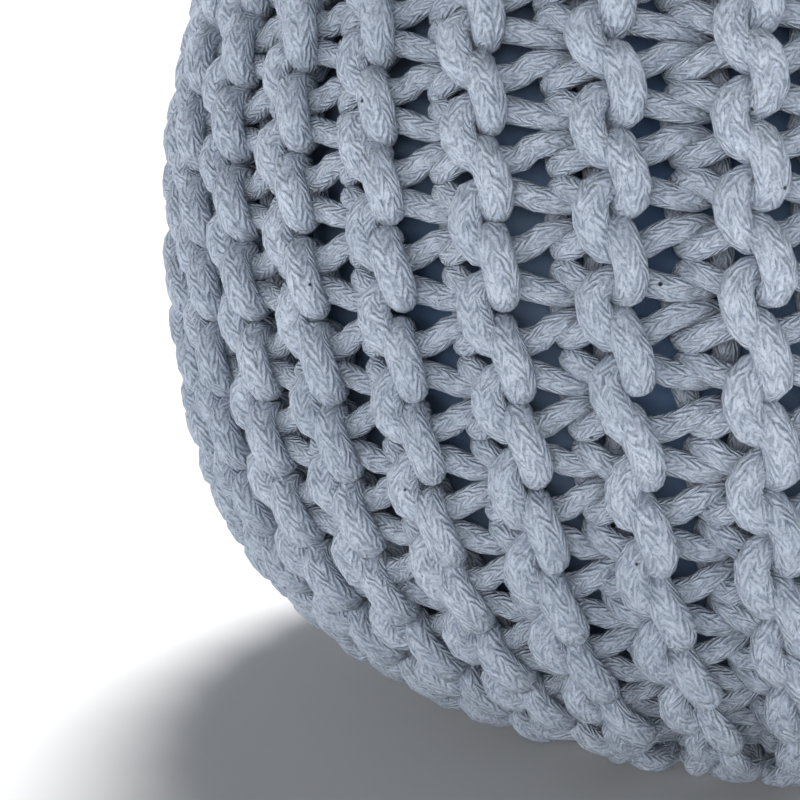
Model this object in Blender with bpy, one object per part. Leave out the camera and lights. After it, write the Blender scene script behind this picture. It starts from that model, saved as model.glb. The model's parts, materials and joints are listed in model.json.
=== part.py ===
"""A round knitted pouf, in metres, +Z up, origin on the floor under its centre.

The cover is one piece of thick cord, knitted in ridges that run from the bottom to the top,
and drawn together to a small hole at both ends. It is stretched over a round filled casing.
"""

import math

import bmesh
import bpy

# The crown: the outline over the ridges, from the middle of the bottom to the middle of the top.
RADIUS = 0.250
TOP_RISE = 0.212
BOTTOM_DROP = 0.195
BASE_HEIGHT_BELOW_WIDEST = 0.187
TOP_FULLNESS = 2.15
BOTTOM_FULLNESS = 2.95

# The two ends, where the cover is drawn together.
GATHER_RADIUS = 0.010
TOP_DIMPLE_RADIUS = 0.070
TOP_DIMPLE_DEPTH = 0.012
BASE_RING_INNER_RADIUS = 0.060
BASE_TUCK_HEIGHT = 0.010

# The knitting.
RIDGES = 38
COVER_THICKNESS = 0.030
RIDGE_DEPTH = 0.0105
RIDGE_END_FADE = 0.10

# The filled casing inside the cover.
CASING_GAP = 0.0006
CASING_TUCK = 0.004

# How finely the surfaces are divided.
COLUMNS_PER_RIDGE = 4
BASE_ROWS = 2
TUCK_ROWS = 2
LOWER_SIDE_ROWS = 6
UPPER_SIDE_ROWS = 6
CROWN_ROWS = 4
CASING_COLUMNS = RIDGES

COVER_COLOUR = (0.33, 0.39, 0.47, 1.0)
COVER_ROUGHNESS = 0.95
CASING_COLOUR = (0.10, 0.14, 0.21, 1.0)
CASING_ROUGHNESS = 0.85


def clear_scene():
    for item in list(bpy.data.objects):
        bpy.data.objects.remove(item, do_unlink=True)


def make_material(name, colour, roughness):
    material = bpy.data.materials.new(name)
    material.use_nodes = True
    shader = material.node_tree.nodes["Principled BSDF"]
    shader.inputs["Base Color"].default_value = colour
    shader.inputs["Roughness"].default_value = roughness
    shader.inputs["Metallic"].default_value = 0.0
    return material


def crown_height(radius):
    """Height over the floor of the upper half of the outline at this radius."""
    share = min(radius / RADIUS, 1.0)
    rise = TOP_RISE * (1.0 - share**TOP_FULLNESS) ** (1.0 / TOP_FULLNESS)
    dimple = TOP_DIMPLE_DEPTH * max(0.0, 1.0 - radius / TOP_DIMPLE_RADIUS) ** 2
    return BASE_HEIGHT_BELOW_WIDEST + rise - dimple


def base_ring_outer_radius():
    """Where the rounded lower half meets the floor."""
    level = (BASE_HEIGHT_BELOW_WIDEST / BOTTOM_DROP) ** BOTTOM_FULLNESS
    return RADIUS * (1.0 - level) ** (1.0 / BOTTOM_FULLNESS)


def lower_side_point(turn):
    """A point of the lower half: turn is 0 at the widest level and 90 degrees at the bottom."""
    radius = RADIUS * math.cos(turn) ** (2.0 / BOTTOM_FULLNESS)
    drop = BOTTOM_DROP * math.sin(turn) ** (2.0 / BOTTOM_FULLNESS)
    return radius, BASE_HEIGHT_BELOW_WIDEST - drop


def upper_side_point(turn):
    """A point of the upper half: turn is 0 at the widest level and 90 degrees at the top."""
    radius = RADIUS * math.cos(turn) ** (2.0 / TOP_FULLNESS)
    return radius, crown_height(radius)


def evenly(first, last, steps):
    return [first + (last - first) * step / steps for step in range(steps + 1)]


def outline():
    """Points (radius, height) of the crown, from the bottom gather to the top gather."""
    points = []
    for radius in evenly(GATHER_RADIUS, BASE_RING_INNER_RADIUS, TUCK_ROWS):
        inward = (BASE_RING_INNER_RADIUS - radius) / (BASE_RING_INNER_RADIUS - GATHER_RADIUS)
        points.append((radius, BASE_TUCK_HEIGHT * inward**1.5))
    ring_outer = base_ring_outer_radius()
    for radius in evenly(BASE_RING_INNER_RADIUS, ring_outer, BASE_ROWS)[1:]:
        points.append((radius, 0.0))
    low_turn = math.acos((ring_outer / RADIUS) ** (BOTTOM_FULLNESS / 2.0))
    for turn in evenly(low_turn, 0.0, LOWER_SIDE_ROWS)[1:]:
        points.append(lower_side_point(turn))
    dimple_turn = math.acos((TOP_DIMPLE_RADIUS / RADIUS) ** (TOP_FULLNESS / 2.0))
    for turn in evenly(0.0, dimple_turn, UPPER_SIDE_ROWS)[1:]:
        points.append(upper_side_point(turn))
    for radius in evenly(TOP_DIMPLE_RADIUS, GATHER_RADIUS, CROWN_ROWS)[1:]:
        points.append((radius, crown_height(radius)))
    return points


def outward_normals(points):
    """The unit normal (radial, upward) of the outline at each of its points."""
    normals = []
    for place in range(len(points)):
        before = points[max(place - 1, 0)]
        after = points[min(place + 1, len(points) - 1)]
        along_radius = after[0] - before[0]
        along_height = after[1] - before[1]
        length = math.hypot(along_radius, along_height)
        normals.append((along_height / length, -along_radius / length))
    return normals


def smooth_step(value):
    share = min(max(value, 0.0), 1.0)
    return share * share * (3.0 - 2.0 * share)


def ridge_strength(radius):
    """How much of their depth the ridges keep: none at the gathers, all on the sides."""
    return smooth_step((radius - GATHER_RADIUS) / RIDGE_END_FADE)


def ridge_sink(column, radius, height):
    """How far the surface lies under the crown, between the crests of the ridges."""
    phase = 2.0 * math.pi * (column % COLUMNS_PER_RIDGE) / COLUMNS_PER_RIDGE
    on_floor = height < 1e-6
    depth = 0.0 if on_floor else RIDGE_DEPTH * ridge_strength(radius)
    return depth * 0.5 * (1.0 - math.cos(phase))


def ring_vertices(mesh, radius, height, columns):
    ring = []
    for column in range(columns):
        angle = 2.0 * math.pi * column / columns
        ring.append(mesh.verts.new((radius * math.cos(angle), radius * math.sin(angle), height)))
    return ring


def join_rings(mesh, lower, upper):
    """Faces between two rings of equal count; upper lies further along the outline."""
    count = len(lower)
    for column in range(count):
        following = (column + 1) % count
        mesh.faces.new((lower[column], lower[following], upper[following], upper[column]))


def join_fine_to_coarse(mesh, fine, coarse):
    """Fans of triangles between a ring and one with a whole number of times fewer points."""
    ratio = len(fine) // len(coarse)
    for column, hub in enumerate(coarse):
        following = coarse[(column + 1) % len(coarse)]
        for step in range(ratio):
            first = fine[column * ratio + step]
            second = fine[(column * ratio + step + 1) % len(fine)]
            mesh.faces.new((hub, second, first))
        mesh.faces.new((hub, following, fine[(column + 1) * ratio % len(fine)]))


def outer_rings(mesh, points, normals):
    columns = RIDGES * COLUMNS_PER_RIDGE
    rings = []
    for (radius, height), (out_radius, out_height) in zip(points, normals):
        ring = []
        for column in range(columns):
            sink = ridge_sink(column, radius, height)
            distance = radius - sink * out_radius
            angle = 2.0 * math.pi * column / columns
            place = (
                distance * math.cos(angle),
                distance * math.sin(angle),
                height - sink * out_height,
            )
            ring.append(mesh.verts.new(place))
        rings.append(ring)
    return rings


def offset_outline(points, normals, depth, end_radius):
    """The outline moved inwards by depth, with its two ends brought to end_radius."""
    moved = []
    for (radius, height), (out_radius, out_height) in zip(points, normals):
        moved.append((radius - depth * out_radius, height - depth * out_height))
    moved = [point for point in moved if point[0] > end_radius]
    bottom = (end_radius, moved[0][1])
    top = (end_radius, moved[-1][1])
    return [bottom] + moved + [top]


def finish_object(name, mesh, material):
    bmesh.ops.recalc_face_normals(mesh, faces=mesh.faces)
    data = bpy.data.meshes.new(name)
    mesh.to_mesh(data)
    mesh.free()
    data.materials.append(material)
    data.shade_smooth()
    item = bpy.data.objects.new(name, data)
    bpy.context.scene.collection.objects.link(item)
    return item


def make_knitted_cover(points, normals):
    """The ridged cover: a thick shell, open at the two gathers."""
    mesh = bmesh.new()
    outside = outer_rings(mesh, points, normals)
    for lower, upper in zip(outside, outside[1:]):
        join_rings(mesh, lower, upper)
    inside_points = offset_outline(points, normals, COVER_THICKNESS, GATHER_RADIUS)
    inside = [ring_vertices(mesh, radius, height, RIDGES) for radius, height in inside_points]
    for lower, upper in zip(inside, inside[1:]):
        join_rings(mesh, upper, lower)
    join_fine_to_coarse(mesh, outside[0], inside[0])
    join_fine_to_coarse(mesh, outside[-1], inside[-1])
    material = make_material("knitted_cord", COVER_COLOUR, COVER_ROUGHNESS)
    return finish_object("knitted_cover", mesh, material)


def make_inner_casing(points, normals):
    """The filled casing: one closed body just inside the cover."""
    mesh = bmesh.new()
    depth = COVER_THICKNESS + CASING_GAP
    casing_points = offset_outline(points, normals, depth, GATHER_RADIUS)
    rings = [ring_vertices(mesh, radius, height, CASING_COLUMNS) for radius, height in casing_points]
    for lower, upper in zip(rings, rings[1:]):
        join_rings(mesh, lower, upper)
    for ring, height in ((rings[0], casing_points[0][1]), (rings[-1], casing_points[-1][1])):
        inward = 1.0 if ring is rings[0] else -1.0
        centre = mesh.verts.new((0.0, 0.0, height + inward * CASING_TUCK))
        for column in range(CASING_COLUMNS):
            mesh.faces.new((centre, ring[column], ring[(column + 1) % CASING_COLUMNS]))
    material = make_material("casing_cloth", CASING_COLOUR, CASING_ROUGHNESS)
    return finish_object("inner_casing", mesh, material)


def main():
    clear_scene()
    points = outline()
    normals = outward_normals(points)
    make_knitted_cover(points, normals)
    make_inner_casing(points, normals)


main()
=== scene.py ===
"""The looks of a round knitted pouf: a cover knitted in thick cotton cord, drawn together
at both ends over a filled cloth casing. Metres, +Z up, the pouf stands on the floor at z = 0.
"""

import json
import math
from collections import namedtuple

import bmesh
import bpy
import numpy as np
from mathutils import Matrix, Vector

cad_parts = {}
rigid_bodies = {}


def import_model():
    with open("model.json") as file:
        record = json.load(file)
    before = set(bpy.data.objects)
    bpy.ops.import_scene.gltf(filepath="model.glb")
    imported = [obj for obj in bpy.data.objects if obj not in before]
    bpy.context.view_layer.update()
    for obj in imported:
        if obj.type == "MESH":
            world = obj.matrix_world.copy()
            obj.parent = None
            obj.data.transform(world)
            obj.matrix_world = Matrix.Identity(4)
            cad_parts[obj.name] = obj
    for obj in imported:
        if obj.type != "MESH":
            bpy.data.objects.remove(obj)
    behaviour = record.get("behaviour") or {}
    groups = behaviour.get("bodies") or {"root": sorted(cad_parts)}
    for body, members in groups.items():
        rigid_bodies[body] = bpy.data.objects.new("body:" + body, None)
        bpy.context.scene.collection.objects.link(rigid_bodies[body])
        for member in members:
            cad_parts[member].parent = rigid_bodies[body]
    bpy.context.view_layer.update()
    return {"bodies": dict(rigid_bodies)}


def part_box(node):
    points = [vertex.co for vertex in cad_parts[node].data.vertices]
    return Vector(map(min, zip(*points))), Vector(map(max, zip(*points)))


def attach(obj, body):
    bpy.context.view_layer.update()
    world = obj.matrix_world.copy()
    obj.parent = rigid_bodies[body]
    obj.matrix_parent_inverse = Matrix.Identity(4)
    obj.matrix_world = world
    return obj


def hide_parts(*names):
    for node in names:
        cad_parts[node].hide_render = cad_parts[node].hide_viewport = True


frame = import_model()
COVER_LOW, COVER_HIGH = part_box("knitted_cover")

bl_info = {
    "name": "Knitted Pouf",
    "version": (1, 0, 0),
    "blender": (4, 5, 0),
    "location": "View3D > Sidebar > Pouf",
    "description": "Knits the cover of a round pouf from thick cord and sets it on a plain floor",
    "category": "Object",
}

BODY = frame["bodies"][0] if isinstance(frame["bodies"], list) else next(iter(frame["bodies"]))

# The crown: the outline over the crests of the ridges, as in the solid cover.
RADIUS = (COVER_HIGH.x - COVER_LOW.x) / 2
TOP_RISE = 0.212
BOTTOM_DROP = 0.195
WIDEST_HEIGHT = 0.187
TOP_FULLNESS = 2.15
BOTTOM_FULLNESS = 2.95
TOP_DIMPLE_RADIUS = 0.070
TOP_DIMPLE_DEPTH = 0.012
BASE_RING_INNER_RADIUS = 0.060
BASE_TUCK_HEIGHT = 0.010
CROWN_POINTS = 1200
CROWN_SMOOTHING = 0.018

# How the ridges thin out towards the two ends: the radius at which each kind stops.
SHORT_RIDGE_RADIUS = 0.128
MIDDLE_RIDGE_RADIUS = 0.066
FULL_RIDGE_RADIUS = 0.033
CLOSING_STITCHES = 1.0

# The cord is pressed thinner from this share of the greatest radius inwards, down to the least.
SQUEEZE_START = 0.88
LEAST_THICKNESS = 0.80

# How far the knitting's middle lies under the crests, in stitch lengths.
CREST_DEPTH = 0.40

# How finely the cord is made, and the least gap that it keeps over the floor.
STEPS_PER_BEND = 5
CORD_SIDES = 12
RING_SPACING = 0.0043
SMOOTHING_PASSES = 6
FLOOR_GAP = 0.0002
TYPICAL_CORD_RADIUS = 0.0048

# The filled casing, and how finely it is divided.
CASING_DEPTH = 0.0306
CASING_COLUMNS = 152
CASING_ROWS = 90
CASING_END_RADIUS = 0.004
CASING_LOBES = 19
CASING_LOBE_DEPTH = 0.0016

# The floor, and the bright wall that it curves up into.
FLOOR_RIM = 14.0
WALL_HEIGHT = 2.4
COVE_RADIUS = 1.0
COVE_STEPS = 8
FLOOR_COLUMNS = 96
WALL_GLOW = 3.0

Bend = namedtuple("Bend", "share across down out thick")

# One stitch of the row whose cord lies outermost on its left: from one left arc to the next.
# share: part of the way to the next ridge; across, down, out: stitch lengths from there;
# thick: how thick the cord is there, as it stretches thin where it is pulled tight.
OUTER_ROW = (
    Bend(0.00, -0.22, 0.01, 0.41, 1.08),
    Bend(0.00, -0.16, 0.19, 0.41, 1.06),
    Bend(0.00, -0.08, 0.31, 0.30, 0.99),
    Bend(0.00, 0.04, 0.35, 0.11, 0.92),
    Bend(0.00, 0.19, 0.33, 0.03, 0.86),
    Bend(0.10, 0.25, 0.30, 0.02, 0.80),
    Bend(0.25, 0.08, 0.22, 0.03, 0.80),
    Bend(0.42, 0.00, 0.16, 0.02, 0.79),
    Bend(0.54, 0.04, 0.14, -0.22, 0.79),
    Bend(0.60, 0.09, 0.26, -0.38, 0.80),
    Bend(0.60, 0.14, 0.50, -0.40, 0.80),
    Bend(0.60, 0.09, 0.74, -0.38, 0.80),
    Bend(0.54, 0.04, 0.87, -0.22, 0.79),
    Bend(0.42, 0.00, 0.82, 0.02, 0.79),
    Bend(0.25, 0.08, 0.79, 0.03, 0.80),
    Bend(0.10, 0.25, 0.75, 0.02, 0.80),
    Bend(0.00, 0.19, 0.70, 0.03, 0.86),
    Bend(0.00, -0.01, 0.67, 0.11, 0.92),
    Bend(0.00, -0.13, 0.70, 0.29, 0.99),
    Bend(0.00, -0.22, 0.82, 0.39, 1.06),
)

# One stitch of the row that comes from behind and ends as the right arcs of the next ridge.
INNER_ROW = (
    Bend(0.40, -0.13, 0.00, -0.40, 0.80),
    Bend(0.40, -0.07, 0.20, -0.38, 0.80),
    Bend(0.42, -0.02, 0.36, -0.26, 0.79),
    Bend(0.48, 0.00, 0.38, -0.06, 0.79),
    Bend(0.64, 0.00, 0.33, 0.10, 0.80),
    Bend(0.86, -0.24, 0.25, 0.09, 0.80),
    Bend(1.00, -0.20, 0.20, 0.03, 0.86),
    Bend(1.00, -0.04, 0.16, 0.11, 0.92),
    Bend(1.00, 0.06, 0.18, 0.30, 0.99),
    Bend(1.00, 0.15, 0.31, 0.41, 1.06),
    Bend(1.00, 0.23, 0.53, 0.41, 1.08),
    Bend(1.00, 0.24, 0.71, 0.39, 1.06),
    Bend(1.00, 0.17, 0.83, 0.29, 0.99),
    Bend(1.00, 0.02, 0.85, 0.11, 0.92),
    Bend(1.00, -0.20, 0.80, 0.03, 0.86),
    Bend(0.86, -0.24, 0.76, 0.09, 0.80),
    Bend(0.64, 0.00, 0.66, 0.10, 0.80),
    Bend(0.48, 0.00, 0.62, -0.06, 0.79),
    Bend(0.42, -0.02, 0.64, -0.26, 0.79),
    Bend(0.40, -0.07, 0.80, -0.38, 0.80),
)

# The cord turns from one row to the other at the ends of a ridge: in a short loop where the
# next ridges close over it, and in a long one where it reaches the gather.
SHORT_TURN = (
    Bend(0.00, -0.02, 0.30, 0.30, 1.00),
    Bend(0.12, 0.08, 0.42, 0.05, 0.80),
    Bend(0.28, 0.00, 0.32, -0.26, 0.80),
)
LONG_TURN = (
    Bend(0.00, -0.04, 0.32, 0.34, 1.00),
    Bend(0.10, 0.00, 0.62, 0.24, 0.80),
    Bend(0.16, 0.00, 0.86, 0.02, 0.80),
    Bend(0.22, 0.00, 0.60, -0.24, 0.80),
    Bend(0.30, -0.06, 0.28, -0.36, 0.82),
)


def smooth_step(value):
    share = np.clip(value, 0.0, 1.0)
    return share * share * (3.0 - 2.0 * share)


class Crown:
    """The outline of the pouf as even steps of arc length, from the bottom gather to the top."""

    def __init__(self):
        radius, height = self.raw_outline()
        length = np.concatenate([[0.0], np.cumsum(np.hypot(np.diff(radius), np.diff(height)))])
        self.arc = np.linspace(0.0, length[-1], CROWN_POINTS)
        self.radius = np.interp(self.arc, length, radius)
        self.height = np.interp(self.arc, length, height)
        self.round_corners()
        along_radius = np.gradient(self.radius)
        along_height = np.gradient(self.height)
        size = np.hypot(along_radius, along_height)
        self.out_radius = along_height / size
        self.out_height = -along_radius / size
        self.length = self.arc[-1]

    @staticmethod
    def raw_outline():
        tuck = np.linspace(0.004, BASE_RING_INNER_RADIUS, 80)
        inward = (BASE_RING_INNER_RADIUS - tuck) / BASE_RING_INNER_RADIUS
        level = (WIDEST_HEIGHT / BOTTOM_DROP) ** BOTTOM_FULLNESS
        ring_outer = RADIUS * (1.0 - level) ** (1.0 / BOTTOM_FULLNESS)
        low_turn = math.acos((ring_outer / RADIUS) ** (BOTTOM_FULLNESS / 2.0))
        turn = np.linspace(low_turn, 0.0, 700)
        low_radius = RADIUS * np.cos(turn) ** (2.0 / BOTTOM_FULLNESS)
        low_height = WIDEST_HEIGHT - BOTTOM_DROP * np.sin(turn) ** (2.0 / BOTTOM_FULLNESS)
        turn = np.linspace(0.0, 0.5 * math.pi, 900)[1:-1]
        top_radius = RADIUS * np.cos(turn) ** (2.0 / TOP_FULLNESS)
        top_height = WIDEST_HEIGHT + TOP_RISE * np.sin(turn) ** (2.0 / TOP_FULLNESS)
        dimple = np.clip(1.0 - top_radius / TOP_DIMPLE_RADIUS, 0.0, 1.0) ** 2
        top_height = top_height - TOP_DIMPLE_DEPTH * dimple
        radius = np.concatenate([tuck, [ring_outer], low_radius[1:], top_radius])
        height = np.concatenate([BASE_TUCK_HEIGHT * inward**1.5, [0.0], low_height[1:], top_height])
        keep = radius > 0.004
        return radius[keep], height[keep]

    def round_corners(self):
        step = self.arc[1] - self.arc[0]
        half = int(CROWN_SMOOTHING / step)
        window = np.hanning(2 * half + 3)[1:-1]
        window /= window.sum()
        for name in ("radius", "height"):
            values = getattr(self, name)
            padded = np.concatenate([
                2 * values[0] - values[half:0:-1], values, 2 * values[-1] - values[-2:-half - 2:-1]
            ])
            setattr(self, name, np.convolve(padded, window, mode="valid"))
        self.height = np.maximum(self.height, 0.0)

    def arc_at_widest(self):
        side = self.radius > 0.8 * RADIUS
        return float(np.interp(WIDEST_HEIGHT, self.height[side], self.arc[side]))

    def arc_at_radius(self, radius, upper):
        widest = int(np.argmax(self.radius))
        if upper:
            return float(np.interp(-radius, -self.radius[widest:], self.arc[widest:]))
        return float(np.interp(radius, self.radius[:widest], self.arc[:widest]))

    def point(self, arc, angle, depth):
        """Places at depth metres inside the crown; angle 0 faces -Y and grows towards +X."""
        arc = np.clip(arc, 0.0, self.length)
        radius = np.interp(arc, self.arc, self.radius)
        radius = radius - depth * np.interp(arc, self.arc, self.out_radius)
        height = np.interp(arc, self.arc, self.height)
        height = height - depth * np.interp(arc, self.arc, self.out_height)
        return np.stack([radius * np.sin(angle), -radius * np.cos(angle), height], axis=-1)


class Knitting:
    """Where every stitch of the cover lies."""

    def __init__(self, sizes):
        self.crown = Crown()
        self.pitch = sizes.stitch_length
        self.cord_radius = sizes.cord_thickness / 2
        self.ridges = sizes.ridges
        self.settings = sizes
        self.random = np.random.default_rng(sizes.unevenness_seed)
        self.widest = self.crown.arc_at_widest()
        self.plan_ridge_ends()
        self.plan_spacing()
        self.plan_waviness()

    def plan_ridge_ends(self):
        """The first and last stitch of every ridge, counted down from the widest level."""
        self.first = np.zeros(self.ridges, int)
        self.last = np.zeros(self.ridges, int)
        self.full = np.zeros(self.ridges, bool)
        for ridge in range(self.ridges):
            if ridge % 2 == 1:
                radius = SHORT_RIDGE_RADIUS
            elif ridge % 4 == 2:
                radius = MIDDLE_RIDGE_RADIUS
            else:
                radius = FULL_RIDGE_RADIUS
                self.full[ridge] = True
            up = self.crown.arc_at_radius(radius, True) - self.widest
            down = self.widest - self.crown.arc_at_radius(radius, False)
            stagger = (ridge // 2) % 2 if ridge % 2 == 1 else 0
            self.first[ridge] = -int(round(up / self.pitch)) + stagger
            self.last[ridge] = int(round(down / self.pitch)) - stagger

    def plan_spacing(self):
        """How wide each ridge is at each level, as an angle; a ridge that has ended has no width."""
        self.levels = np.linspace(self.first.min() - 2.0, self.last.max() + 2.0, 900)
        weight = np.ones((self.ridges, len(self.levels)))
        for ridge in range(self.ridges):
            if not self.full[ridge]:
                above = (self.levels - (self.first[ridge] - CLOSING_STITCHES - 0.3)) / CLOSING_STITCHES
                below = (self.last[ridge] + CLOSING_STITCHES + 0.3 - self.levels) / CLOSING_STITCHES
                weight[ridge] = smooth_step(above) * smooth_step(below)
        width = 2.0 * math.pi * weight / weight.sum(axis=0)
        start = np.concatenate([np.zeros((1, len(self.levels))), np.cumsum(width, axis=0)])
        middle = int(np.argmin(np.abs(self.levels)))
        shift = (start[:-1] - start[:-1, middle:middle + 1]).mean(axis=0)
        self.ridge_angle = start - shift

    def plan_waviness(self):
        """Slow sideways wander of each ridge, in stitch lengths."""
        knots = np.arange(math.floor(self.levels[0]) - 1, math.ceil(self.levels[-1]) + 2, 1.6)
        drift = self.random.normal(0.0, 1.0, (self.ridges, len(knots)))
        drift = 0.6 * drift + 0.4 * np.roll(drift, 1, axis=0)
        rows = [np.interp(self.levels, knots, row) for row in drift]
        window = np.hanning(61)
        window /= window.sum()
        rows = [np.convolve(row, window, mode="same") for row in rows]
        self.drift = self.settings.ridge_wander * np.array(rows + rows[:1])

    def ridge_line(self, ridge, down):
        lap = 2.0 * math.pi * (ridge // self.ridges)
        ridge = ridge % self.ridges
        return lap + np.interp(down, self.levels, self.ridge_angle[ridge])

    def wander(self, ridge, down):
        return np.interp(down, self.levels, self.drift[ridge % self.ridges])

    def place(self, ridge, share, across, down, out):
        """Where points given in stitch lengths from a ridge lie on the pouf."""
        settings = self.settings
        here = self.ridge_line(ridge, down)
        width = self.ridge_line(ridge + 1, down) - here
        arc = self.widest + settings.row_shift - down * self.pitch
        radius = np.interp(np.clip(arc, 0.0, self.crown.length), self.crown.arc, self.crown.radius)
        radius = np.maximum(radius, 0.008)
        blend = np.clip(share, 0.0, 1.0)
        wander = (1.0 - blend) * self.wander(ridge, down) + blend * self.wander(ridge + 1, down)
        sideways = (across + wander * smooth_step((radius - 0.05) / 0.10)) * self.pitch
        angle = here + share * width + sideways / radius + settings.start_angle
        angle, arc = self.settle(angle, arc)
        depth = (CREST_DEPTH - out) * self.pitch + self.cord_radius
        return self.crown.point(arc, angle, depth)

    def squeeze(self, path):
        """How thick the cord stays where the ridges crowd together toward the two ends."""
        share = np.hypot(path[:, 0], path[:, 1]) / (SQUEEZE_START * self.crown.radius.max())
        return np.clip(share**1.5, LEAST_THICKNESS, 1.0)

    def settle(self, angle, arc):
        """The cover sits a little askew on its filling, and a little twisted."""
        settings = self.settings
        half = self.crown.length / 2.0
        latitude = (arc - self.widest) / half * (math.pi / 2.0)
        latitude = np.clip(latitude, -math.pi / 2, math.pi / 2)
        sine, cosine = np.sin(angle), np.cos(angle)
        turn = settings.skew * (settings.lean_side * cosine - settings.lean_back * sine)
        drop = settings.lean_side * sine + settings.lean_back * cosine
        moved_angle = angle + np.sin(latitude) * turn - settings.twist * (arc - self.widest)
        moved_arc = arc - np.cos(latitude) * drop * self.crown.length / math.pi
        return moved_angle, moved_arc


def row_bends(table, knitting, first, last):
    """The bends of one row of a ridge, from its first to its last stitch, slightly uneven."""
    settings = knitting.settings
    random = knitting.random
    bends = []
    for stitch in range(first, last):
        sway = random.normal(0.0, settings.unevenness, 3)
        for bend in table:
            shake = random.normal(0.0, 0.35 * settings.unevenness, 3)
            bends.append((
                bend.share,
                bend.across + sway[0] + shake[0],
                stitch + bend.down + sway[1] + shake[1],
                bend.out + 0.6 * (sway[2] + shake[2]),
                bend.thick,
            ))
    return bends


def ridge_loop(knitting, ridge):
    """All bends of one ridge: down its outer row, round the end, up its inner row, and round."""
    first, last = int(knitting.first[ridge]), int(knitting.last[ridge])
    turn = LONG_TURN if knitting.full[ridge] else SHORT_TURN
    outer = row_bends(OUTER_ROW, knitting, first, last)
    outer.append(OUTER_ROW[0]._replace(down=float(last)))
    inner = row_bends(INNER_ROW, knitting, first, last)
    inner.append(INNER_ROW[0]._replace(down=float(last)))
    at_bottom = [bend._replace(down=last + bend.down) for bend in turn]
    at_top = [bend._replace(down=first - bend.down) for bend in reversed(turn)]
    return np.array(outer + at_bottom + inner[::-1] + at_top)


def spline(points, steps):
    """A smooth closed curve through the points, with even tension between uneven gaps."""
    following = np.roll(points, -1, axis=0)
    gap = np.sqrt(np.maximum(np.linalg.norm(following - points, axis=1), 1e-6))
    before = np.roll(gap, 1)
    slope = (following - points) / gap[:, None]
    slope_before = np.roll(slope, 1, axis=0)
    tangent = (slope * before[:, None] + slope_before * gap[:, None]) / (gap + before)[:, None]
    next_tangent = np.roll(tangent, -1, axis=0)
    parts = []
    for step in range(steps):
        t = step / steps
        parts.append(
            (2 * t**3 - 3 * t**2 + 1) * points
            + (t**3 - 2 * t**2 + t) * gap[:, None] * tangent
            + (3 * t**2 - 2 * t**3) * following
            + (t**3 - t**2) * gap[:, None] * next_tangent
        )
    return np.stack(parts, axis=1).reshape(-1, points.shape[1])


def even_out(points, spacing):
    """The closed curve resampled at even steps; also returns its length."""
    closed = np.vstack([points, points[:1]])
    steps = np.linalg.norm(np.diff(closed[:, :3], axis=0), axis=1)
    length = np.concatenate([[0.0], np.cumsum(steps)])
    count = max(8, int(round(length[-1] / spacing)))
    at = np.linspace(0.0, length[-1], count, endpoint=False)
    return np.stack([np.interp(at, length, column) for column in closed.T], axis=1), length[-1]


def relax(points, passes):
    for _ in range(passes):
        points = 0.5 * points + 0.25 * (np.roll(points, 1, axis=0) + np.roll(points, -1, axis=0))
    return points


def carried_frames(path):
    """Two directions across a closed path at each point, turned as little as possible."""
    count = len(path)
    along = np.roll(path, -1, axis=0) - np.roll(path, 1, axis=0)
    along /= np.linalg.norm(along, axis=1)[:, None]
    across = np.empty_like(path)
    side = np.cross(along[0], (0.0, 0.0, 1.0))
    if np.linalg.norm(side) < 1e-3:
        side = np.cross(along[0], (0.0, 1.0, 0.0))
    across[0] = side / np.linalg.norm(side)
    for place in range(1, count):
        side = across[place - 1] - along[place] * np.dot(across[place - 1], along[place])
        across[place] = side / math.sqrt(np.dot(side, side))
    last = across[-1] - along[0] * np.dot(across[-1], along[0])
    gap = math.atan2(np.dot(np.cross(last, across[0]), along[0]), np.dot(last, across[0]))
    angle = gap * np.arange(count) / count
    up = np.cross(along, across)
    turned = np.cos(angle)[:, None] * across + np.sin(angle)[:, None] * up
    return turned, np.cross(along, turned)


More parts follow.
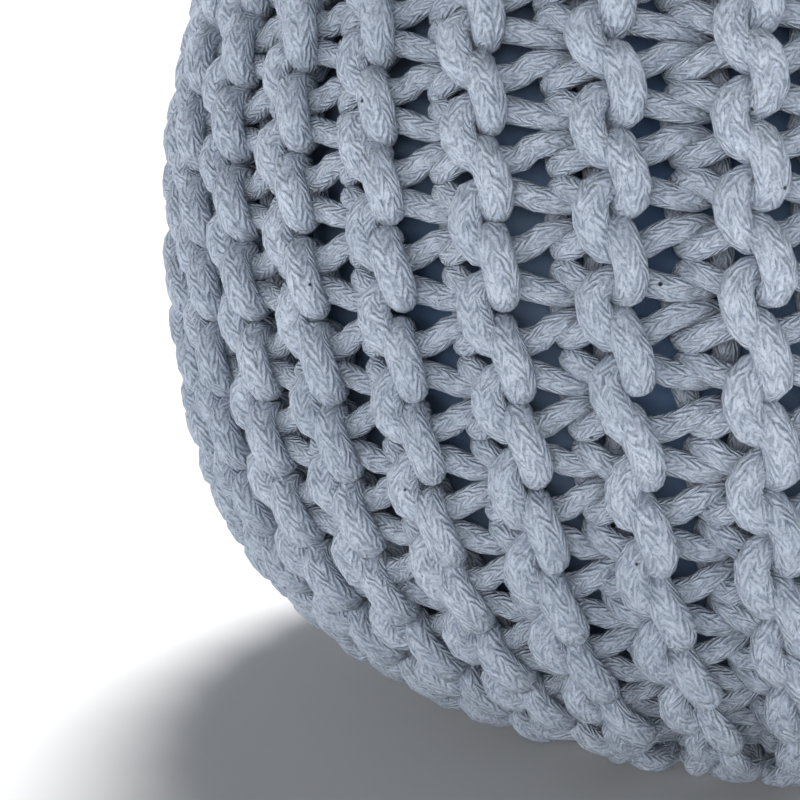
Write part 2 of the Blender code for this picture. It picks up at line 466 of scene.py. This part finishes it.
class CordMesh:
    """Gathers closed runs of cord into one mesh, with a map along and around the cord."""

    def __init__(self, random):
        self.random = random
        self.points = []
        self.faces = []
        self.along = []
        self.rings = 0
        self.total_length = 0.0
        self.count = 0

    def add_run(self, path, length, radius, weave_step):
        """Adds a closed run of cord; the fourth column of path is its thickness."""
        thickness = path[:, 3]
        path = path[:, :3]
        count = len(path)
        side, up = carried_frames(path)
        swell = self.random.normal(0.0, 0.03, count)
        swell = relax(swell[:, None], 6)[:, 0] * 2.2
        turn = 2.0 * math.pi * np.arange(CORD_SIDES) / CORD_SIDES
        ring = np.cos(turn)[None, :, None] * side[:, None] + np.sin(turn)[None, :, None] * up[:, None]
        points = path[:, None] + radius * (thickness * (1.0 + swell))[:, None, None] * ring
        points[:, :, 2] = np.maximum(points[:, :, 2], FLOOR_GAP)
        self.points.append(points.reshape(-1, 3))
        here = np.arange(count)
        onward = (here + 1) % count
        corner = np.arange(CORD_SIDES)
        beside = (corner + 1) % CORD_SIDES
        base = self.count
        quads = np.stack([
            here[:, None] * CORD_SIDES + corner[None],
            here[:, None] * CORD_SIDES + beside[None],
            onward[:, None] * CORD_SIDES + beside[None],
            onward[:, None] * CORD_SIDES + corner[None],
        ], axis=-1) + base
        self.faces.append(quads.reshape(-1, 4))
        weaves = max(1, int(round(length / weave_step)))
        low = here / count * weaves * weave_step
        high = (here + 1) / count * weaves * weave_step
        u = np.stack([low, low, high, high], axis=-1)[:, None, :].repeat(CORD_SIDES, axis=1)
        v = np.stack([corner, corner + 1, corner + 1, corner], axis=-1) / CORD_SIDES
        v = v[None].repeat(count, axis=0)
        self.along.append(np.stack([u, v], axis=-1).reshape(-1, 4, 2))
        self.rings += count
        self.total_length += length
        self.count += count * CORD_SIDES

    def strip_map(self):
        """Every ring of cord gets its own place in a square, in rows side by side."""
        total = self.rings
        girth = 2.0 * math.pi * TYPICAL_CORD_RADIUS
        rows = max(1, int(math.ceil(math.sqrt(self.total_length * girth) / girth)))
        per_row = int(math.ceil(total / rows))
        rows = int(math.ceil(total / per_row))
        index = np.arange(total)
        row, column = index // per_row, index % per_row
        margin = 0.04
        low = column / per_row
        high = (column + 1) / per_row
        corner = np.arange(CORD_SIDES)
        near = (row[:, None] + margin + (1 - 2 * margin) * corner / CORD_SIDES) / rows
        far = (row[:, None] + margin + (1 - 2 * margin) * (corner + 1) / CORD_SIDES) / rows
        shape = (total, CORD_SIDES)
        low, high = np.broadcast_to(low[:, None], shape), np.broadcast_to(high[:, None], shape)
        u = np.stack([low, low, high, high], axis=-1)
        v = np.stack([near, far, far, near], axis=-1)
        return np.stack([u, v], axis=-1).reshape(-1, 2)

    def build(self, name):
        points = np.concatenate(self.points)
        faces = np.concatenate(self.faces)
        data = bpy.data.meshes.new(name)
        data.vertices.add(len(points))
        data.vertices.foreach_set("co", points.astype(np.float32).ravel())
        data.loops.add(faces.size)
        data.loops.foreach_set("vertex_index", faces.astype(np.int32).ravel())
        data.polygons.add(len(faces))
        data.polygons.foreach_set("loop_start", np.arange(0, faces.size, 4, dtype=np.int32))
        data.polygons.foreach_set("loop_total", np.full(len(faces), 4, dtype=np.int32))
        run = data.uv_layers.new(name="cord_run")
        run.data.foreach_set("uv", np.concatenate(self.along).astype(np.float32).ravel())
        strips = data.uv_layers.new(name="OFBake")
        strips.data.foreach_set("uv", self.strip_map().astype(np.float32).ravel())
        data.uv_layers["cord_run"].active_render = True
        data.update()
        data.validate()
        data.shade_smooth()
        item = bpy.data.objects.new(name, data)
        bpy.context.scene.collection.objects.link(item)
        return item


def knit_panel(knitting, name, ridges, weave_step):
    mesh = CordMesh(knitting.random)
    for ridge in ridges:
        bends = ridge_loop(knitting, ridge)
        curve = spline(bends, STEPS_PER_BEND)
        path = knitting.place(ridge, *curve[:, :4].T)
        thickness = curve[:, 4] * knitting.squeeze(path)
        path = relax(np.column_stack([path, thickness]), SMOOTHING_PASSES)
        path, length = even_out(path, RING_SPACING)
        mesh.add_run(path, length, knitting.cord_radius, weave_step)
    return mesh.build(name), mesh.total_length


def gather_ring(knitting, name, upper, weave_step):
    """The cord drawn through the end loops, pulled into a small uneven ring."""
    crown = knitting.crown
    turns = 96
    angle = 2.0 * math.pi * np.arange(turns) / turns
    ends = knitting.first if upper else knitting.last
    edge = ends.min() - 0.62 if upper else ends.max() + 0.62
    level = knitting.widest - edge * knitting.pitch
    arc = level + 0.0012 * np.sin(3 * angle + 0.7) + 0.0008 * np.sin(5 * angle)
    depth = CREST_DEPTH * knitting.pitch + knitting.cord_radius + 0.0010 * np.sin(10 * angle)
    path = np.column_stack([crown.point(arc, angle, depth), np.full(turns, 0.95)])
    path, length = even_out(path, RING_SPACING * 0.6)
    mesh = CordMesh(knitting.random)
    mesh.add_run(path, length, knitting.cord_radius, weave_step)
    return mesh.build(name)


def finish_mesh(name, mesh):
    """Turns a bmesh into a smooth object in the scene."""
    bmesh.ops.recalc_face_normals(mesh, faces=mesh.faces)
    data = bpy.data.meshes.new(name)
    mesh.to_mesh(data)
    mesh.free()
    data.shade_smooth()
    item = bpy.data.objects.new(name, data)
    bpy.context.scene.collection.objects.link(item)
    return item


def casing_rings(mesh, crown):
    """Level rings of the casing from bottom to top, with shallow lobes round it."""
    angles = 2.0 * math.pi * np.arange(CASING_COLUMNS) / CASING_COLUMNS
    rings = []
    for arc in np.linspace(0.0, crown.length, CASING_ROWS):
        inset = CASING_DEPTH * np.interp(arc, crown.arc, crown.out_radius)
        if np.interp(arc, crown.arc, crown.radius) - inset < CASING_END_RADIUS:
            continue
        points = crown.point(np.full(CASING_COLUMNS, arc), angles, CASING_DEPTH)
        radius = np.hypot(points[:, 0], points[:, 1])
        lobe = CASING_LOBE_DEPTH * np.sin(angles * CASING_LOBES)
        lobe = lobe * np.sin(arc / crown.length * math.pi) ** 2
        points[:, :2] *= (1.0 - np.abs(lobe) / np.maximum(radius, 0.01))[:, None]
        rings.append([mesh.verts.new(point) for point in points])
    return rings


def join_casing_rings(mesh, rings, length, cloth, bake):
    """The side of the casing, mapped in metres of cloth."""
    girth = 2 * math.pi * RADIUS
    for low in range(len(rings) - 1):
        for column in range(CASING_COLUMNS):
            following = (column + 1) % CASING_COLUMNS
            face = mesh.faces.new((
                rings[low][column], rings[low][following],
                rings[low + 1][following], rings[low + 1][column],
            ))
            corners = ((column, low), (column + 1, low), (column + 1, low + 1), (column, low + 1))
            for loop, (u, v) in zip(face.loops, corners):
                loop[cloth].uv = (u / CASING_COLUMNS * girth, v / CASING_ROWS * length)
                loop[bake].uv = (u / CASING_COLUMNS, 0.03 + 0.94 * v / len(rings))


def close_casing_end(mesh, ring, lift, cloth, bake, bake_height):
    """A shallow cap of triangles over the ring at one end of the casing."""
    middle = sum((vertex.co for vertex in ring), Vector()) / len(ring)
    centre = mesh.verts.new(middle + Vector((0.0, 0.0, lift)))
    for column, vertex in enumerate(ring):
        face = mesh.faces.new((centre, vertex, ring[(column + 1) % len(ring)]))
        for loop in face.loops:
            loop[cloth].uv = (loop.vert.co.x, loop.vert.co.y)
            loop[bake].uv = (0.5 + 20.0 * loop.vert.co.x, bake_height + 0.5 * loop.vert.co.y)


# ---------------------------------------------------------------- materials


class NodeBench:
    """Short calls for building a material's nodes."""

    def __init__(self, name):
        self.material = bpy.data.materials.new(name)
        self.material.use_nodes = True
        self.nodes = self.material.node_tree.nodes
        self.links = self.material.node_tree.links
        self.shader = self.nodes["Principled BSDF"]

    def feed(self, socket, value):
        if isinstance(value, bpy.types.NodeSocket):
            self.links.new(value, socket)
        else:
            socket.default_value = value

    def math(self, operation, *values):
        node = self.nodes.new("ShaderNodeMath")
        node.operation = operation
        for socket, value in zip(node.inputs, values):
            self.feed(socket, value)
        return node.outputs[0]

    def range(self, value, low, high, to_low=0.0, to_high=1.0, smooth=False):
        node = self.nodes.new("ShaderNodeMapRange")
        node.interpolation_type = "SMOOTHSTEP" if smooth else "LINEAR"
        for socket, item in zip(node.inputs, (value, low, high, to_low, to_high)):
            self.feed(socket, item)
        return node.outputs[0]

    def mix(self, factor, first, second):
        node = self.nodes.new("ShaderNodeMix")
        node.data_type = "RGBA"
        self.feed(node.inputs["Factor"], factor)
        self.feed(node.inputs["A"], first)
        self.feed(node.inputs["B"], second)
        return node.outputs["Result"]

    def noise(self, vector, scale, detail=2.0, roughness=0.5):
        node = self.nodes.new("ShaderNodeTexNoise")
        self.feed(node.inputs["Vector"], vector)
        self.feed(node.inputs["Scale"], scale)
        self.feed(node.inputs["Detail"], detail)
        self.feed(node.inputs["Roughness"], roughness)
        return node.outputs[0]

    def combine(self, x, y, z):
        node = self.nodes.new("ShaderNodeCombineXYZ")
        for socket, value in zip(node.inputs, (x, y, z)):
            self.feed(socket, value)
        return node.outputs[0]

    def object_place(self):
        return self.nodes.new("ShaderNodeTexCoord").outputs["Object"]

    def bump(self, height, distance, strength):
        node = self.nodes.new("ShaderNodeBump")
        self.feed(node.inputs["Height"], height)
        self.feed(node.inputs["Distance"], distance)
        self.feed(node.inputs["Strength"], strength)
        return node.outputs[0]


def cord_material(finish):
    """Cotton cord made of small slanting strands in mirrored columns, soft and flecked, with painted
    shade in the grooves between the strands.
    """
    bench = NodeBench("cotton_cord")
    run = bench.nodes.new("ShaderNodeUVMap")
    run.uv_map = "cord_run"
    split = bench.nodes.new("ShaderNodeSeparateXYZ")
    bench.links.new(run.outputs[0], split.inputs[0])
    along, around = split.outputs[0], split.outputs[1]
    place = bench.object_place()

    warp = bench.range(bench.noise(place, 210.0, 2.0), 0.0, 1.0, -0.5, 0.5)
    warp_slow = bench.range(bench.noise(place, 75.0, 1.0), 0.0, 1.0, -0.5, 0.5)
    column = bench.math("MULTIPLY", around, float(finish.strand_columns))
    column = bench.math("ADD", column, bench.math("MULTIPLY", warp_slow, 0.5))
    column_part = bench.math("FRACT", column)
    from_middle = bench.math("ABSOLUTE", bench.math("SUBTRACT", column_part, 0.5))
    from_middle = bench.math("MULTIPLY", from_middle, 2.0)
    step = bench.math("DIVIDE", along, finish.strand_step)
    step = bench.math("ADD", step, bench.math("MULTIPLY", from_middle, 1.5))
    step = bench.math("ADD", step, bench.math("MULTIPLY", warp, 1.5))
    step = bench.math("ADD", step, bench.math("MULTIPLY", warp_slow, 1.2))
    wave = bench.math("COSINE", bench.math("MULTIPLY", step, 2.0 * math.pi))
    strand = bench.math("MULTIPLY_ADD", wave, -0.5, 0.5)
    column_edge = bench.range(from_middle, 0.70, 1.0, 1.0, 0.35, smooth=True)
    column_heart = bench.range(from_middle, 0.0, 0.22, 0.55, 1.0, smooth=True)
    relief = bench.math("MULTIPLY", bench.math("MULTIPLY", strand, column_edge), column_heart)

    slant = bench.math("MULTIPLY", from_middle, 2.6)
    fibre_along = bench.math("ADD", bench.math("MULTIPLY", along, 330.0), slant)
    fibre_along = bench.math("ADD", fibre_along, bench.math("MULTIPLY", warp, 1.6))
    fibre_around = bench.math("ADD", bench.math("MULTIPLY", around, 34.0), warp_slow)
    fibre = bench.noise(bench.combine(fibre_along, fibre_around, warp_slow), 1.0, 3.0, 0.7)
    fuzz = bench.noise(place, 1300.0, 3.0, 0.75)

    lump = bench.noise(place, 290.0, 2.0, 0.6)
    height = bench.math("ADD", bench.math("MULTIPLY", relief, 0.62), bench.math("MULTIPLY", fibre, 0.32))
    height = bench.math("ADD", height, bench.math("MULTIPLY", fuzz, 0.30))
    height = bench.math("ADD", height, bench.math("MULTIPLY", lump, 0.85))
    normal = bench.bump(height, finish.strand_relief, 1.0)
    bench.links.new(normal, bench.shader.inputs["Normal"])

    # painted shade: the colour darkens where the strands dip, in the grooves between them and at the
    # edges of the columns
    painted_groove_shade = bench.range(relief, 0.05, 0.75, 1.0, 0.0, smooth=True)
    broken = bench.range(bench.noise(place, 300.0, 2.0, 0.6), 0.38, 0.62, 0.1, 1.0, smooth=True)
    painted_groove_shade = bench.math("MULTIPLY", painted_groove_shade, broken)
    grain = bench.range(fibre, 0.33, 0.42, 1.0, 0.0, smooth=True)
    speck = bench.range(bench.noise(place, 1150.0, 2.0, 0.6), 0.34, 0.47, 1.0, 0.0, smooth=True)
    patch = bench.range(lump, 0.32, 0.50, 1.0, 0.0, smooth=True)
    cloudy = bench.range(bench.noise(place, 26.0, 3.0), 0.35, 0.68)
    body = bench.mix(cloudy, tuple(finish.cord_colour), tuple(finish.cord_light_colour))
    body = bench.mix(bench.math("MULTIPLY", painted_groove_shade, 0.48), body, tuple(finish.groove_shade_and_speck_colour))
    body = bench.mix(bench.math("MULTIPLY", grain, 0.70), body, tuple(finish.groove_shade_and_speck_colour))
    body = bench.mix(bench.math("MULTIPLY", speck, 0.42), body, tuple(finish.groove_shade_and_speck_colour))
    body = bench.mix(bench.math("MULTIPLY", patch, 0.26), body, tuple(finish.groove_shade_and_speck_colour))

    cells = bench.nodes.new("ShaderNodeTexVoronoi")
    bench.feed(cells.inputs["Vector"], place)
    bench.feed(cells.inputs["Scale"], 210.0)
    picker = bench.nodes.new("ShaderNodeSeparateXYZ")
    bench.links.new(cells.outputs["Color"], picker.inputs[0])
    chosen = bench.math("GREATER_THAN", picker.outputs[0], 0.972)
    small = bench.range(cells.outputs["Distance"], 0.10, 0.17, 1.0, 0.0)
    fleck = bench.math("MULTIPLY", chosen, small)
    body = bench.mix(fleck, body, tuple(finish.fleck_colour))
    bench.links.new(body, bench.shader.inputs["Base Color"])

    rough = bench.range(relief, 0.0, 1.0, 1.0, 0.88)
    bench.links.new(rough, bench.shader.inputs["Roughness"])
    bench.shader.inputs["Specular IOR Level"].default_value = 0.18
    bench.shader.inputs["Sheen Weight"].default_value = 0.22
    bench.shader.inputs["Sheen Roughness"].default_value = 0.55
    bench.shader.inputs["Sheen Tint"].default_value = (0.80, 0.86, 0.95, 1.0)
    return bench.material


def casing_material(finish):
    """Plain-woven cotton, darkened to slate blue as painted shade for the shade between the stitches:
    fine threads over and under, faintly clouded.
    """
    bench = NodeBench("casing_cotton")
    run = bench.nodes.new("ShaderNodeUVMap")
    run.uv_map = "cloth_run"
    split = bench.nodes.new("ShaderNodeSeparateXYZ")
    bench.links.new(run.outputs[0], split.inputs[0])
    place = bench.object_place()
    turns = 2.0 * math.pi * finish.thread_count
    warp_thread = bench.math("SINE", bench.math("MULTIPLY", split.outputs[0], turns))
    weft_thread = bench.math("SINE", bench.math("MULTIPLY", split.outputs[1], turns))
    weave = bench.math("MULTIPLY", warp_thread, weft_thread)
    slub = bench.noise(place, 240.0, 3.0, 0.6)
    cloudy = bench.range(bench.noise(place, 14.0, 3.0), 0.3, 0.7)
    # painted shade: both casing colours are kept dark and blue for the shade between the stitches; the
    # paler patches fall at random
    colour = bench.mix(cloudy, tuple(finish.casing_shade_colour), tuple(finish.casing_light_colour))
    threads = bench.range(weave, -1.0, 1.0, 0.0, 0.22)
    colour = bench.mix(threads, colour, tuple(finish.casing_thread_colour))
    bench.links.new(colour, bench.shader.inputs["Base Color"])
    height = bench.math("ADD", bench.math("MULTIPLY", weave, 0.5), slub)
    bench.links.new(bench.bump(height, 0.00025, 0.8), bench.shader.inputs["Normal"])
    rough = bench.range(slub, 0.3, 0.7, 0.78, 0.92)
    bench.links.new(rough, bench.shader.inputs["Roughness"])
    bench.shader.inputs["Specular IOR Level"].default_value = 0.2
    bench.shader.inputs["Sheen Weight"].default_value = 0.1
    return bench.material


def floor_material(stage):
    bench = NodeBench("pale_floor")
    speck = bench.range(bench.noise(bench.object_place(), 3.0, 2.0), 0.3, 0.7, 0.0, 1.0)
    shade = tuple(0.985 * part for part in stage.floor_colour[:3]) + (1.0,)
    colour = bench.mix(speck, tuple(stage.floor_colour), shade)
    bench.links.new(colour, bench.shader.inputs["Base Color"])
    bench.shader.inputs["Roughness"].default_value = 0.9
    bench.shader.inputs["Specular IOR Level"].default_value = 0.1
    return bench.material


def wall_material(stage):
    bench = NodeBench("bright_wall")
    bench.shader.inputs["Base Color"].default_value = tuple(stage.floor_colour)
    bench.shader.inputs["Roughness"].default_value = 0.9
    bench.shader.inputs["Emission Color"].default_value = (1.0, 1.0, 1.0, 1.0)
    bench.shader.inputs["Emission Strength"].default_value = WALL_GLOW
    return bench.material


# ---------------------------------------------------------------- settings


def colour_setting(label, about, value):
    return bpy.props.FloatVectorProperty(
        name=label, description=about, subtype="COLOR", size=4, min=0.0, max=1.0, default=value
    )


class PoufKnitSettings(bpy.types.PropertyGroup):
    ridges: bpy.props.IntProperty(
        name="Ridges", description="Ridges round the pouf", default=38, min=12, max=60
    )
    panels: bpy.props.IntProperty(
        name="Panels", description="Objects that the cover is split into", default=6, min=5, max=12
    )
    stitch_length: bpy.props.FloatProperty(
        name="Stitch length", description="Length of one stitch along a ridge",
        default=0.0257, min=0.015, max=0.05, unit="LENGTH"
    )
    cord_thickness: bpy.props.FloatProperty(
        name="Cord thickness", description="Thickness of the cord across",
        default=0.0098, min=0.004, max=0.02, unit="LENGTH"
    )
    start_angle: bpy.props.FloatProperty(
        name="Start angle", description="Direction of the first ridge, from the front",
        default=-0.104, unit="ROTATION"
    )
    row_shift: bpy.props.FloatProperty(
        name="Row shift", description="How far the stitches are moved up along the ridges",
        default=0.034, unit="LENGTH"
    )
    lean_side: bpy.props.FloatProperty(
        name="Lean to the side", description="How far the cover is slipped sideways on its filling",
        default=-0.052, unit="ROTATION"
    )
    lean_back: bpy.props.FloatProperty(
        name="Lean to the back", description="How far the cover is slipped backwards on its filling",
        default=-0.165, unit="ROTATION"
    )
    skew: bpy.props.FloatProperty(
        name="Skew", description="How much of the slip turns the ridges", default=1.3
    )
    twist: bpy.props.FloatProperty(
        name="Twist", description="Turn of the cover for each metre up, in radians", default=0.064
    )
    unevenness: bpy.props.FloatProperty(
        name="Unevenness", description="How unlike the stitches are, in stitch lengths",
        default=0.022, min=0.0, max=0.1
    )
    ridge_wander: bpy.props.FloatProperty(
        name="Ridge wander", description="How far the ridges wander sideways, in stitch lengths",
        default=0.10, min=0.0, max=0.5
    )
    unevenness_seed: bpy.props.IntProperty(
        name="Seed", description="Seed of the unevenness", default=11, min=0
    )


class PoufCordSettings(bpy.types.PropertyGroup):
    cord_colour: colour_setting("Cord", "Main colour of the cord", (0.440, 0.502, 0.602, 1.0))
    cord_light_colour: colour_setting("Cord, light", "Paler patches", (0.535, 0.597, 0.702, 1.0))
    # painted shade in the grooves between the strands; the same dark colour also gives the cord's own
    # streaks, specks and patches
    groove_shade_and_speck_colour: colour_setting("Grooves", "Between the strands", (0.066, 0.100, 0.160, 1.0))
    fleck_colour: colour_setting("Flecks", "Tiny seed flecks", (0.012, 0.014, 0.020, 1.0))
    strand_columns: bpy.props.IntProperty(
        name="Strand columns", description="Columns of strands round the cord", default=5, min=2
    )
    strand_step: bpy.props.FloatProperty(
        name="Strand step", description="Length of cord from strand to strand",
        default=0.0034, min=0.001, max=0.01, unit="LENGTH"
    )
    strand_relief: bpy.props.FloatProperty(
        name="Strand relief", description="Height of the strands",
        default=0.0011, min=0.0, max=0.003, unit="LENGTH"
    )


class PoufCasingSettings(bpy.types.PropertyGroup):
    # painted shade: the casing's colour is darkened and blued for the shade that falls between the
    # stitches
    casing_shade_colour: colour_setting("Casing", "Main colour of the casing", (0.052, 0.114, 0.230, 1.0))
    casing_light_colour: colour_setting("Casing, light", "Paler patches", (0.155, 0.220, 0.330, 1.0))
    casing_thread_colour: colour_setting("Threads", "Tops of threads", (0.180, 0.225, 0.290, 1.0))
    thread_count: bpy.props.FloatProperty(
        name="Thread count", description="Threads in a metre of cloth", default=1432.39
    )


class PoufStageSettings(bpy.types.PropertyGroup):
    floor_colour: colour_setting("Floor", "Colour of the floor", (0.80, 0.80, 0.80, 1.0))
    camera_distance: bpy.props.FloatProperty(
        name="Camera distance", description="From the middle of the pouf's widest level",
        default=0.8571, unit="LENGTH"
    )
    camera_elevation: bpy.props.FloatProperty(
        name="Camera elevation", description="Above the widest level, as an angle",
        default=0.0992, unit="ROTATION"
    )
    camera_yaw: bpy.props.FloatProperty(
        name="Camera yaw", description="Turn to the left of the pouf's middle",
        default=0.1930, unit="ROTATION"
    )
    camera_pitch: bpy.props.FloatProperty(
        name="Camera pitch", description="Tilt of the camera", default=-0.1924, unit="ROTATION"
    )
    lens: bpy.props.FloatProperty(
        name="Lens", description="Focal length in millimetres, for a 36 mm sensor", default=101.25
    )


# ---------------------------------------------------------------- operators


class POUF_OT_knit_cover(bpy.types.Operator):
    """Knit the ridges of the cover from cord"""

    bl_idname = "pouf.knit_cover"
    bl_label = "Knit the cover"

    def execute(self, context):
        scene = context.scene
        knitting = Knitting(scene.pouf_knit)
        material = cord_material(scene.pouf_cord)
        bounds = np.linspace(0, knitting.ridges, scene.pouf_knit.panels + 1).round().astype(int)
        step = scene.pouf_cord.strand_step
        cover = []
        cord_length = 0.0
        for number, (start, stop) in enumerate(zip(bounds[:-1], bounds[1:]), 1):
            panel, length = knit_panel(knitting, f"knitted_panel_{number}", range(start, stop), step)
            cord_length += length
            cover.append(panel)
        cover.append(gather_ring(knitting, "top_gather_ring", True, step))
        cover.append(gather_ring(knitting, "bottom_gather_ring", False, step))
        for piece in cover:
            piece.data.materials.append(material)
            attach(piece, BODY)
            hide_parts("knitted_cover")
        print(f"cord in the cover: {cord_length:.1f} m")
        return {"FINISHED"}


class POUF_OT_casing(bpy.types.Operator):
    """Make the filled cloth casing that shows between the stitches"""

    bl_idname = "pouf.casing"
    bl_label = "Make the casing"

    def execute(self, context):
        crown = Crown()
        mesh = bmesh.new()
        rings = casing_rings(mesh, crown)
        cloth = mesh.loops.layers.uv.new("cloth_run")
        bake = mesh.loops.layers.uv.new("OFBake")
        join_casing_rings(mesh, rings, crown.length, cloth, bake)
        close_casing_end(mesh, rings[0], 0.001, cloth, bake, 0.01)
        close_casing_end(mesh, rings[-1], -0.001, cloth, bake, 0.99)
        piece = finish_mesh("filled_casing", mesh)
        piece.data.materials.append(casing_material(context.scene.pouf_casing))
        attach(piece, BODY)
        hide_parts("inner_casing")
        return {"FINISHED"}


class POUF_OT_stage(bpy.types.Operator):
    """Set the floor, the light and the camera"""

    bl_idname = "pouf.stage"
    bl_label = "Set the stage"

    def execute(self, context):
        scene = context.scene
        settings = scene.pouf_stage
        self.make_floor(scene, settings)
        self.make_lights(scene)
        self.make_camera(scene, settings)
        scene.view_settings.view_transform = "Standard"
        return {"FINISHED"}

    def make_floor(self, scene, settings):
        """A round floor whose rim curves up into a bright wall, far away."""
        mesh = bmesh.new()
        rings = [self.floor_ring(mesh, radius, height) for radius, height in self.floor_outline()]
        mesh.faces.new(rings[0])
        for place, (low, high) in enumerate(zip(rings, rings[1:])):
            for column in range(FLOOR_COLUMNS):
                following = (column + 1) % FLOOR_COLUMNS
                face = mesh.faces.new((low[column], low[following], high[following], high[column]))
                face.material_index = 1 if place >= 2 else 0
        floor = finish_mesh("studio_floor", mesh)
        floor.data.materials.append(floor_material(settings))
        floor.data.materials.append(wall_material(settings))

    @staticmethod
    def floor_outline():
        """Points (radius, height) from the middle of the floor to the top of the wall."""
        flat = FLOOR_RIM - COVE_RADIUS
        points = [(0.4, 0.0), (3.0, 0.0), (flat, 0.0)]
        for part in range(COVE_STEPS):
            turn = 0.5 * math.pi * (part + 1) / COVE_STEPS
            across = flat + COVE_RADIUS * math.sin(turn)
            points.append((across, COVE_RADIUS - COVE_RADIUS * math.cos(turn)))
        points.append((FLOOR_RIM, WALL_HEIGHT))
        return points

    @staticmethod
    def floor_ring(mesh, radius, height):
        ring = []
        for column in range(FLOOR_COLUMNS):
            angle = 2 * math.pi * column / FLOOR_COLUMNS
            ring.append(mesh.verts.new((radius * math.cos(angle), radius * math.sin(angle), height)))
        return ring

    def make_lights(self, scene):
        world = bpy.data.worlds.new("soft_room")
        world.use_nodes = True
        background = world.node_tree.nodes["Background"]
        background.inputs[0].default_value = (0.93, 0.96, 1.0, 1.0)
        background.inputs[1].default_value = 0.03
        scene.world = world
        self.add_sun(scene, "overhead", 4.5, 21.0, (0.03, 0.50, 1.0))
        self.add_sun(scene, "low_front", 1.95, 30.0, (0.0, -1.0, 0.12))

    def add_sun(self, scene, name, strength, softness, towards):
        light = bpy.data.lights.new(name, "SUN")
        light.energy = strength
        light.angle = math.radians(softness)
        item = bpy.data.objects.new(name, light)
        item.location = Vector(towards) * 3.0
        item.rotation_mode = "QUATERNION"
        item.rotation_quaternion = Vector(towards).to_track_quat("Z", "Y")
        scene.collection.objects.link(item)

    def make_camera(self, scene, settings):
        data = bpy.data.cameras.new("camera")
        data.lens = settings.lens
        data.sensor_width = 36.0
        data.clip_start = 0.02
        data.clip_end = 60.0
        camera = bpy.data.objects.new("camera", data)
        level = settings.camera_distance * math.cos(settings.camera_elevation)
        lift = settings.camera_distance * math.sin(settings.camera_elevation)
        camera.location = (0.0, -level, WIDEST_HEIGHT + lift)
        yaw, pitch = settings.camera_yaw, settings.camera_pitch
        ahead = Vector((
            -math.sin(yaw) * math.cos(pitch), math.cos(yaw) * math.cos(pitch), math.sin(pitch)
        ))
        camera.rotation_mode = "QUATERNION"
        camera.rotation_quaternion = ahead.to_track_quat("-Z", "Y")
        scene.collection.objects.link(camera)
        scene.camera = camera


class POUF_PT_panel(bpy.types.Panel):
    """Buttons and settings of the knitted pouf"""

    bl_idname = "POUF_PT_panel"
    bl_label = "Knitted Pouf"
    bl_space_type = "VIEW_3D"
    bl_region_type = "UI"
    bl_category = "Pouf"

    def draw(self, context):
        scene = context.scene
        for settings, button in (
            (scene.pouf_knit, POUF_OT_knit_cover),
            (scene.pouf_cord, None),
            (scene.pouf_casing, POUF_OT_casing),
            (scene.pouf_stage, POUF_OT_stage),
        ):
            box = self.layout.box()
            for name in settings.__annotations__:
                box.prop(settings, name)
            if button:
                box.operator(button.bl_idname)


SETTINGS = (
    ("pouf_knit", PoufKnitSettings),
    ("pouf_cord", PoufCordSettings),
    ("pouf_casing", PoufCasingSettings),
    ("pouf_stage", PoufStageSettings),
)
CLASSES = tuple(group for _, group in SETTINGS) + (
    POUF_OT_knit_cover,
    POUF_OT_casing,
    POUF_OT_stage,
    POUF_PT_panel,
)


def register():
    for item in CLASSES:
        bpy.utils.register_class(item)
    for name, group in SETTINGS:
        setattr(bpy.types.Scene, name, bpy.props.PointerProperty(type=group))


def unregister():
    for name, _ in SETTINGS:
        delattr(bpy.types.Scene, name)
    for item in reversed(CLASSES):
        bpy.utils.unregister_class(item)


def main():
    register()
    bpy.ops.pouf.stage()
    bpy.ops.pouf.knit_cover()
    bpy.ops.pouf.casing()


if __name__ == "__main__":
    main()
